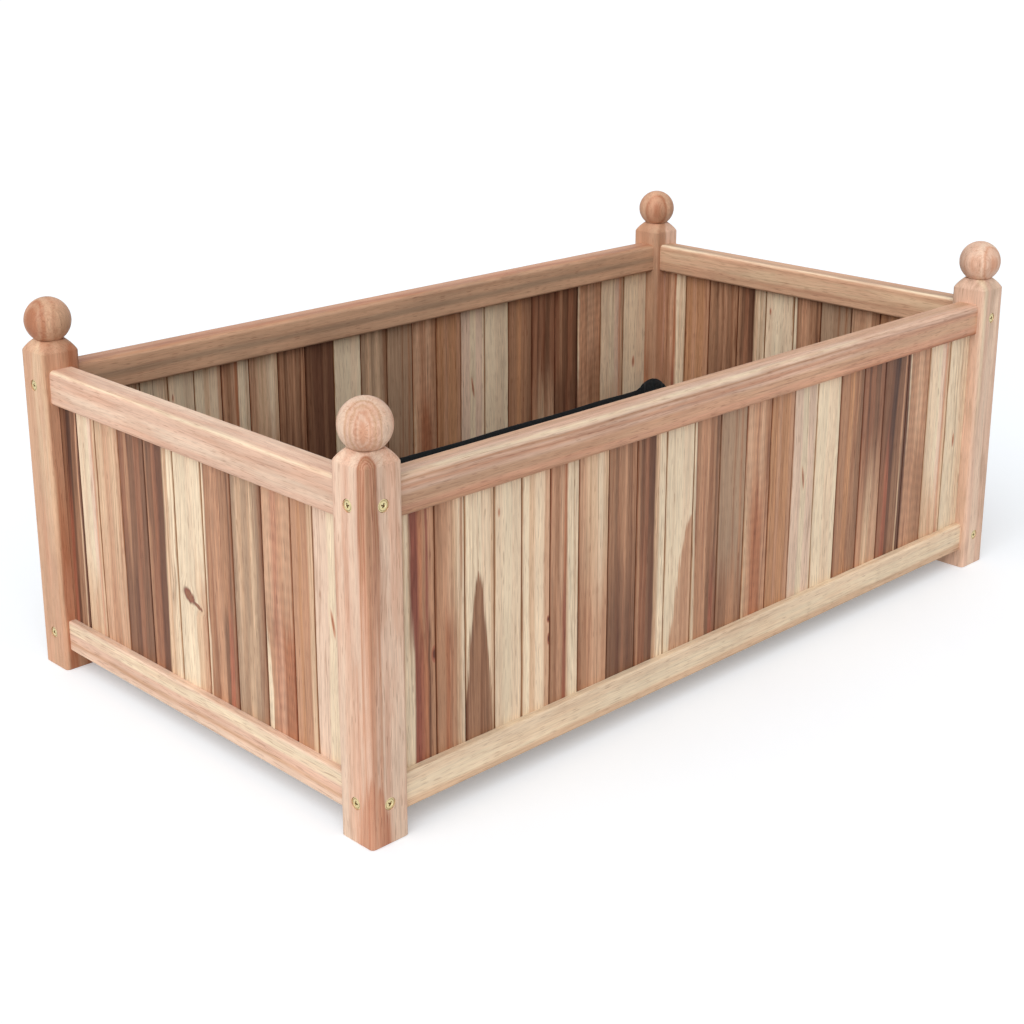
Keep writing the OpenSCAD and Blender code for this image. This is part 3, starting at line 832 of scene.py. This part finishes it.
def rail(wall, level):
    node = f"{level}_rail_{wall.name}"
    low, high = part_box(node)
    face, back = span((low, high), wall.away)
    depth, height, length = back - face, high.z - low.z, wall.end - wall.start
    boards = span(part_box("boards_" + wall.name), wall.away)
    groove = (boards[0] - face - GROOVE_FIT, boards[1] - face + GROOVE_FIT)
    over = TOP_RAIL_ROUND if level == "top" else BOTTOM_RAIL_ROUND
    outline = rail_outline(depth, height, groove, over, level == "bottom")
    near = TENON_SET if wall.seen_outside else depth - TENON_SET - TENON_T
    under, above = tenon_margins(level)
    reach = wall.start - span((low, high), wall.run)[0]
    tenons = [
        tenon(near, tip, inner, under, height - above, wall.seen_outside)
        for tip, inner in ((-reach, PAST), (length + reach, length - PAST))
    ]
    mesh = carve(as_mesh(prism(outline, 0, length), node), tenons, "UNION")
    post_low, post_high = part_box("post_front_left")
    in_post = (post_high.x - post_low.x) / 2
    mesh = carve(mesh, [
        turned(rod(SHANK_R + HOLE_FIT, -PAST, depth + PAST), 90, "Y", (0, height / 2, z))
        for z in (-in_post, length + in_post)
    ])
    whole = height + RAIL_LEAN * depth
    mark_grain(mesh, lambda p: ((p.y + RAIL_LEAN * p.x) / whole, p.x, p.z / length))
    place = f"{level}_{wall.name}"
    wood = timber("wood_" + place, RAIL_WOODS[place])
    piece("rail_" + place, mesh, wood, node,
          wall.matrix(wall.start, low.z, face, False),
          SEEDS[level + "_rail"] + WALLS.index(wall.name))


# Posts and balls

def cap_half_width(share, half):
    """Half of the cap's width at a share of its curve, from the shoulder to the flat on top."""
    foot, top = Vector((half, 0)), Vector((CAP_FLAT / 2, CAP_RISE))
    across = (foot - top).length / 2
    aside = Vector((foot.y - top.y, top.x - foot.x)).normalized()
    centre = (foot + top) / 2 + aside * math.sqrt(CAP_CURVE ** 2 - across ** 2)
    return swung(centre, foot, top, share)


def square_ring(half, r, z):
    corners = [(-half, -half, r), (half, -half, r), (half, half, r), (-half, half, r)]
    return [(p.x, p.y, z) for p in filleted(corners, 8)]


def screw_hole():
    """A joint screw's hole along +Z, with the post's face at z = 0."""
    head, shank, under = HEAD_R + HEAD_FIT, SHANK_R + HOLE_FIT, HEAD_SINK + HEAD_RIM + HEAD_CROWN
    return lathe([
        (0, -PAST), (head, -PAST), (head, under), (shank, under), (shank, HOLE_DEEP),
        (0, HOLE_DEEP)], HEAD_SEGMENTS)


def rail_levels():
    """For both kinds of rail: the tenon's lowest and highest point, and the screw's height."""
    levels = []
    for level in ("bottom", "top"):
        low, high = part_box(f"{level}_rail_front")
        under, above = tenon_margins(level)
        levels.append((low.z + under, high.z - above, (low.z + high.z) / 2))
    return levels


def post_mesh():
    """The front left post about its own axis, its mortises towards +X and +Y."""
    low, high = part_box("post_front_left")
    half = (high.x - low.x) / 2
    shoulder = high.z - CAP_RISE
    straight = ((half - FOOT_EASE, 0), (half, FOOT_EASE), (half, shoulder - SHOULDER_EASE))
    rings = [square_ring(width, POST_ROUND, z) for width, z in straight]
    for k in range(1, CAP_STEPS + 1):
        width, rise = cap_half_width(k / CAP_STEPS, half)
        r = POST_ROUND + (CAP_HIP_ROUND - POST_ROUND) * rise / CAP_RISE
        rings.append(square_ring(width, r, shoulder + rise))
    cutters = []
    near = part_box("top_rail_front")[0].y - low.y + TENON_SET - TENON_FIT - half
    far, out = near + TENON_T + 2 * TENON_FIT, half + PAST
    for bottom, top, screw_z in rail_levels():
        corner = [(near, near), (out, near), (out, far), (far, far), (far, out), (near, out)]
        cutters.append(prism(corner, bottom - TENON_FIT, top + TENON_FIT))
        for axis, angle, side in (("X", -90, (0, -half, screw_z)), ("Y", 90, (-half, 0, screw_z))):
            cutters.append(turned(screw_hole(), angle, axis, side))
    boards_low, boards_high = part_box("boards_front")
    front = boards_low.y - low.y - half - GROOVE_FIT
    back = boards_high.y - low.y - half + GROOVE_FIT
    floor = half - POST_GROOVE
    groove = [(floor, front), (out, front), (out, back), (floor, back)]
    for outline in (groove, [(y, x) for x, y in groove]):
        cutters.append(prism(outline, boards_low.z, boards_high.z + BOARD_HEADROOM))
    cutters.append(rod(STUD_BORE_R, high.z - STUD_BORE_DEEP, high.z + PAST))
    return carve(as_mesh(loft(rings), "post"), cutters)


def mirrored(mesh, flip_x, flip_y):
    copy = mesh.copy()
    copy.transform(Matrix.Diagonal((-1 if flip_x else 1, -1 if flip_y else 1, 1, 1)))
    if flip_x != flip_y:
        copy.flip_normals()
    return copy


def ball_mesh():
    """A turned ball about its own centre, with a flat seat and a blind bore."""
    seat = BALL_CUT - BALL_R
    deep, start = seat + STUD_BORE_DEEP, math.asin(seat / BALL_R)
    arc = [start + (math.pi / 2 - start) * k / BALL_STEPS for k in range(BALL_STEPS)]
    profile = [(0, deep), (STUD_BORE_R, deep), (STUD_BORE_R, seat)]
    profile += [(BALL_R * math.cos(a), BALL_R * math.sin(a)) for a in arc]
    return as_mesh(lathe(profile + [(0, BALL_R)], 2 * BALL_STEPS), "ball")


POST_WOODS = {
    "front_left": dict(
        pith=(-20, -26), flame=(0.0, 0.22, 0.32, "salmon", "salmon"),
        top="tan 3, salmon 5, copper 6, salmon 8, copper 9, tan 12, copper 14, rosy 19, "
            "peach 32, rosy 46, peach 60, rosy",
        foot="salmon 5, rosy 12, salmon 14, peach 20, rosy 30, peach 84, rosy"),
    "front_right": dict(
        pith=(30, -34), cloud=("grey", 0.4), stripes=0.2, tint="streak",
        top="rosy 22, peach 48, rosy 60, pale 72, rosy", foot="rosy 36, peach 60, rosy"),
    "rear_left": dict(
        pith=(18, -30), top="copper 12, tan 26, blush 34, tan 54, sand 72, blush",
        foot="copper 20, tan 34, copper 52, blush 62, blush"),
    "rear_right": dict(
        pith=(-34, 8), top="tan 22, blush 44, tan 58, rosy", foot="copper 30, tan 60, brown"),
}

BALL_WOODS = {
    "front_left": dict(
        pith=(-20, -21),
        top="salmon 3, rosy 7, salmon 9, rosy 14, blush 16, rosy 24, blush 26, peach 44, rosy"),
    "front_right": dict(pith=(-8, -36), top="salmon 14, rosy 24, salmon 28, peach 40, rosy"),
    "rear_left": dict(pith=(-34, -8), top="copper 20, tan 26, copper 30, blush 44, tan 48, blush"),
    "rear_right": dict(pith=(-26, -22), top="copper 14, tan 24, copper 28, blush 40, tan"),
}


def posts_and_balls():
    shape, ball = post_mesh(), ball_mesh()
    for k, name in enumerate(POSTS):
        low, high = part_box("post_" + name)
        x, y = (low.x + high.x) / 2, (low.y + high.y) / 2
        mesh = mirrored(shape, "right" in name, "rear" in name)
        wood = pithy_wood("wood_post_" + name, high.z, **POST_WOODS[name])
        piece("corner_post_" + name, mesh, wood, "post_" + name,
              Matrix.Translation((x, y, 0)), SEEDS["post"] + k)
        wood = pithy_wood("wood_ball_" + name, 2 * BALL_R, wobble=0.2, fray=0.12,
                          **BALL_WOODS[name])
        piece("ball_" + name, ball.copy(), wood, "finial_" + name,
              Matrix.Translation((x, y, high.z + BALL_R - BALL_CUT)), SEEDS["ball"] + k)


# Joint screws

def cross_cutter():
    """A cross that narrows with depth, for the recess in a screw's head."""
    cutters = []
    for angle in (0, 90):
        rings = []
        for z, long_by, wide_by in ((-PAST, 1.2, 1.1), (RECESS_DEEP, 0.5, 0.6)):
            x, y = RECESS_REACH * long_by, RECESS_HALF_W * wide_by
            rings.append([(-x, -y, z), (x, -y, z), (x, y, z), (-x, y, z)])
        cutters.append(turned(loft(rings), angle, "Z"))
    return cutters


def joint_screw_mesh():
    """A screw about Z, pointing along +Z, with the post's face at z = 0."""
    crown_r = (HEAD_R ** 2 + HEAD_CROWN ** 2) / (2 * HEAD_CROWN)
    rim = HEAD_SINK + HEAD_CROWN
    under = rim + HEAD_RIM
    inside, outside = HEAD_GROOVE_R - HEAD_GROOVE_W / 2, HEAD_GROOVE_R + HEAD_GROOVE_W / 2
    crown = [(inside * k / 8, 0) for k in range(9)]
    crown += [(HEAD_GROOVE_R, HEAD_GROOVE_DEEP), (outside, 0), (HEAD_R - HEAD_EASE, 0)]
    profile = [(r, HEAD_SINK + crown_r - math.sqrt(crown_r ** 2 - r ** 2) + deep)
               for r, deep in crown]
    profile += [
        (HEAD_R, rim + HEAD_EASE), (HEAD_R, under), (SHANK_R, under),
        (SHANK_R, SCREW_REACH - SCREW_POINT), (SCREW_TIP_R, SCREW_REACH), (0, SCREW_REACH)]
    return carve(as_mesh(lathe(profile, HEAD_SEGMENTS), "joint_screw"), cross_cutter())


def joint_screws():
    shape, metal = joint_screw_mesh(), brass()
    count = 0
    for name in POSTS:
        low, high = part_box("post_" + name)
        middle = (low + high) / 2
        for _, _, z in rail_levels():
            for axis in (0, 1):
                way = inward(middle, axis)
                place = Vector((middle.x, middle.y, z)) - way * (high.x - low.x) / 2
                spin = Quaternion(UP, math.radians(count * SCREW_TURN % 90))
                turn = (way.to_track_quat("Z", "Y") @ spin).to_matrix().to_4x4()
                count += 1
                piece(f"joint_screw_{count:02d}", shape, metal, "joint_screws",
                      Matrix.Translation(place) @ turn, count)


# Liner and staples

def grid_lines(half, notch, step):
    """Places of the grid's lines from -half to half, close together within a notch of its ends."""
    fine = [notch * k / 8 for k in range(8)]
    inner = 2 * (half - notch)
    count = round(inner / step)
    coarse = [-half + notch + inner * k / count for k in range(count + 1)]
    return [-half + f for f in fine] + coarse + [half - f for f in reversed(fine)]


def sag(x, slats):
    """How far the felt dips between two slats."""
    dip = 0.0
    for left, right in slats:
        if left < x < right:
            dip = FELT_SAG * math.sin(math.pi * (x - left) / (right - left)) ** 2
    return dip


def rim_height(x, y, inner_x, inner_y):
    """Height of the liner's edge, with a rounded ear at each post's inner corner."""
    to_corner = abs(abs(x) - inner_x) + abs(abs(y) - inner_y)
    wave = RIM_WAVE * field.noise(Vector((x * 9, y * 9, 4.0)))
    share = min(1.0, to_corner / EAR_R)
    ear = (EAR_TOP - LINER_RIM) * (0.5 + 0.5 * math.cos(math.pi * share))
    return LINER_RIM + max(wave * share, ear)


def boundary_loop(bm):
    """The vertices round the open edge of a mesh, in order."""
    start = next(v for v in bm.verts if v.is_boundary)
    loop, previous, vertex = [start], None, start
    while True:
        near = [e.other_vert(vertex) for e in vertex.link_edges if e.is_boundary]
        step = near[0] if near[0] is not previous else near[1]
        if step is start:
            return loop
        loop.append(step)
        previous, vertex = vertex, step


def billow(along, length, count, height):
    """How far the liner's side stands off its wall between two staples."""
    fade = max(0.0, min(1.0, (length / 2 - abs(along)) / BILLOW_FADE))
    wave = math.sin(math.pi * along * count / length) ** 2
    return FELT_BILLOW * wave * fade * height ** 1.5


def liner_floor(bm, half_x, half_y, inner_x, inner_y, floor_z):
    """The liner's floor, a fine grid without its four corners, creased and sagging."""
    slats = [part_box(node) for node in SLATS]
    gaps = [(a[1].x, b[0].x) for a, b in zip(slats, slats[1:])]
    xs = grid_lines(half_x, half_x - inner_x, FELT_GRID[0])
    ys = grid_lines(half_y, half_y - inner_y, FELT_GRID[1])
    made = {}

    def vertex(i, j):
        if (i, j) not in made:
            x, y = xs[i], ys[j]
            free = min(1.0, (half_x - abs(x)) / FELT_FLAT, (half_y - abs(y)) / FELT_FLAT)
            crease = max(0.0, field.noise(Vector((x * 7, y * 7, 0.0)))) * FELT_CREASE * free
            made[i, j] = bm.verts.new((x, y, floor_z + crease - sag(x, gaps)))
        return made[i, j]

    for i in range(len(xs) - 1):
        for j in range(len(ys) - 1):
            x, y = (xs[i] + xs[i + 1]) / 2, (ys[j] + ys[j + 1]) / 2
            if abs(x) <= inner_x or abs(y) <= inner_y:
                corners = ((i, j), (i + 1, j), (i + 1, j + 1), (i, j + 1))
                bm.faces.new([vertex(*c) for c in corners])


def liner_mesh():
    low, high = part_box("liner")
    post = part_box("post_front_left")[1]
    half_x, half_y = high.x - FELT_T / 2, high.y - FELT_T / 2
    inner_x, inner_y = (-side - FELT_GAP - FELT_T / 2 for side in post.xy)
    bm = bmesh.new()
    liner_floor(bm, half_x, half_y, inner_x, inner_y, low.z + FELT_T / 2)
    rows = [boundary_loop(bm)]
    places = [v.co.copy() for v in rows[0]]
    for k in range(FELT_ROWS):
        share = (k + 1) / FELT_ROWS
        rows.append([])
        for p in places:
            x, y = p.x, p.y
            if abs(y) > half_y - PAST:
                y -= math.copysign(billow(x, 2 * inner_x, BILLOWS[0], share), y)
            elif abs(x) > half_x - PAST:
                x -= math.copysign(billow(y, 2 * inner_y, BILLOWS[1], share), x)
            top = rim_height(p.x, p.y, inner_x, inner_y)
            rows[-1].append(bm.verts.new((x, y, p.z + (top - p.z) * share)))
    skin(bm, rows)
    bmesh.ops.recalc_face_normals(bm, faces=bm.faces)
    return as_mesh(bm, "felt_liner")


def liner():
    mesh = liner_mesh()
    o = put("felt_liner", mesh)
    mesh.materials.append(felt())
    mesh.shade_smooth()
    fold = o.modifiers.new("folds", "BEVEL")
    fold.width = FOLD_ROUND
    fold.segments = 3
    fold.limit_method = "ANGLE"
    fold.angle_limit = math.radians(50)
    thick = o.modifiers.new("felt", "SOLIDIFY")
    thick.thickness = FELT_T
    thick.offset = 0
    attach(o, "root")
    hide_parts("liner")


def staple_mesh(width, leg):
    """A staple of round wire: its crown along X at y = 0, and its legs towards -Y."""
    half, bend = width / 2 - WIRE_R, WIRE_BEND
    path = filleted([(-half, -leg, 0), (-half, 0, bend), (half, 0, bend), (half, -leg, 0)], 5)
    turns = [math.tau * n / 12 for n in range(12)]
    rings = []
    for k, p in enumerate(path):
        before, after = path[max(k - 1, 0)], path[min(k + 1, len(path) - 1)]
        side = (after - before).normalized().orthogonal()
        rings.append([(*(p + side * WIRE_R * math.cos(a)), WIRE_R * math.sin(a)) for a in turns])
    return as_mesh(loft(rings), "staple")


def staples(metal):
    reaches = [[span(points, axis) for axis in Matrix.Identity(3)]
               for points in islands("liner_staples")]
    for k, reach in enumerate(sorted(reaches)):
        low, high = (Vector(ends) for ends in zip(*reach))
        size, middle = high - low, (low + high) / 2
        deep = min(size.x, size.y)
        if k == 0:
            shape = staple_mesh(max(size.x, size.y), deep - WIRE_R)
        back = inward(middle, 1 if size.x > size.y else 0)
        turn = Matrix((back.cross(UP), back, UP)).transposed().to_4x4()
        crown = middle + back * (deep / 2 - WIRE_R)
        piece(f"staple_{k + 1:02d}", shape, metal, "liner_staples",
              Matrix.Translation(crown) @ turn, k)


def dress(node, material, seed=0):
    """Gives a CAD node that stays in view its material."""
    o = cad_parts[node]
    o.pass_index = seed
    if not o.material_slots:
        o.data.materials.append(material)
    for slot in o.material_slots:
        slot.material = material


def hidden_parts(metal):
    rough = beam("sand 30, pale 52, blush 70, sand")
    wide, narrow = 0.6, 0.1
    slat_wood = timber("wood_slats", rough, round_pith(0.02, -0.09, wide, 0.6), wide, "Y")
    ledger_wood = timber("wood_ledgers", rough, round_pith(0.35, -0.05, narrow, 1.1), narrow, "X")
    for k, node in enumerate(SLATS):
        dress(node, slat_wood, SEEDS["slat"] + k)
    for k, side in enumerate(("front", "rear")):
        dress(f"floor_ledger_{side}", ledger_wood, SEEDS["ledger"] + k)
    for node in ("finial_screws", "slat_screws", "ledger_screws"):
        dress(node, metal)


# Stage

WHITE = (1, 1, 1, 1)
AMBIENT = 0.54
KEY_STRENGTH = 2.16
KEY_SPREAD = 75
KEY_FROM = Vector((-0.70, -0.36, 0.62))
FLOOR_HALF = 40
FLOOR_SEEN = (0.85, 0.89, 0.93, 1)
FLOOR_UNSEEN = (0.70, 0.70, 0.70, 1)
FLOOR_GLOW = 0.2
SEEN_RAYS = ("Is Camera Ray", "Is Glossy Ray", "Is Transmission Ray")

# The camera is fitted to the posts, rails and balls of the photograph. Angles are in degrees.
CAMERA_AT = (-1.6134, -1.5858, 0.9647)
CAMERA_TURN = -44.255
CAMERA_DOWN = 16.673
LENS = 60.46
SENSOR = 36
LENS_SHIFT = -0.0977


def seen_rays(t):
    """1 for camera, glossy and transmission rays, and else 0."""
    path = t.add("LightPath").outputs
    camera, glossy, through = (Value(t, path[name]) for name in SEEN_RAYS)
    return camera.math("MAXIMUM", glossy).math("MAXIMUM", through)


def make_world():
    """Soft even light from all round, behind which the backdrop is white."""
    world = bpy.data.worlds.new("studio")
    bpy.context.scene.world = world
    t = Tree(world, "Background")
    t.fill(t.shader, {"Color": WHITE, "Strength": seen_rays(t) * (1 - AMBIENT) + AMBIENT})


def make_floor():
    """A pale floor that reads white in the open and keeps the bed's shadow."""
    bm = bmesh.new()
    bmesh.ops.create_grid(bm, x_segments=1, y_segments=1, size=FLOOR_HALF)
    floor = put("floor", as_mesh(bm, "floor"))
    t = Tree(bpy.data.materials.new("floor_white"))
    seen = seen_rays(t)
    t.fill(t.shader, {"Base Color": t.mix(seen, FLOOR_UNSEEN, FLOOR_SEEN), "Roughness": 1.0,
                      "Specular IOR Level": 0.0, "Emission Color": WHITE,
                      "Emission Strength": seen * FLOOR_GLOW})
    floor.data.materials.append(t.owner)
    floor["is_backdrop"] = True


def make_key():
    light = bpy.data.lights.new("key", "SUN")
    light.energy = KEY_STRENGTH
    light.angle = math.radians(KEY_SPREAD)
    key = put("key", light)
    key.rotation_euler = KEY_FROM.to_track_quat("Z", "Y").to_euler()


def make_camera():
    data = bpy.data.cameras.new("camera")
    data.sensor_width = SENSOR
    data.lens = LENS
    data.shift_y = LENS_SHIFT
    data.clip_end = 200
    camera = put("camera", data)
    camera.location = CAMERA_AT
    camera.rotation_euler = (math.radians(90 - CAMERA_DOWN), 0, math.radians(CAMERA_TURN))
    bpy.context.scene.camera = camera


def build():
    woods = [timber(f"wood_plank_{k + 1:02d}", recipe) for k, recipe in enumerate(PLANKS)]
    for name in WALLS:
        wall = Wall(name)
        wall_boards(wall, woods)
        rail(wall, "top")
        rail(wall, "bottom")
    posts_and_balls()
    joint_screws()
    liner()
    metal = zinc()
    staples(metal)
    hidden_parts(metal)


make_camera()
make_world()
make_floor()
make_key()
build()

bpy.context.scene.view_settings.view_transform = "Standard"
boxes = {"cad": cad_box, "visual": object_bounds()}
{k: [list(corner) for corner in b] for k, b in boxes.items()}
